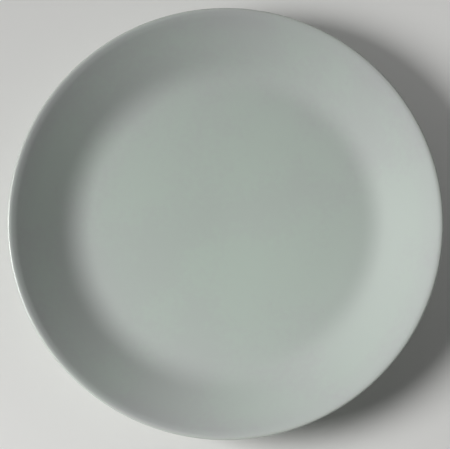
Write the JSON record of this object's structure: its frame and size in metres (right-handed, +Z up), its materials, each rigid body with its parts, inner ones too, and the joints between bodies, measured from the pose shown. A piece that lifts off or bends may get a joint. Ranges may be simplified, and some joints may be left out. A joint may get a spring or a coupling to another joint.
{
  "type": "bread and butter plate",
  "caption": "Round bread and butter plate in glazed ceramic, with a flat well, a coved and sloping rim, a rounded lip and a bare foot ring to stand on.",
  "frame": {"origin": "centre of the circle that the foot ring stands on, at table level", "axes": "+Z up along the plate's axis of revolution, X to the right and Y away from the viewer in the picture"},
  "size_m": [0.17, 0.17, 0.0226],
  "materials": {
    "clay": "matte",
    "glaze": "satin"
  },
  "bodies": {
    "root": {"plate_body": "clay", "glaze_coat": "glaze", "base_glaze": "glaze"}
  },
  "joints": []
}
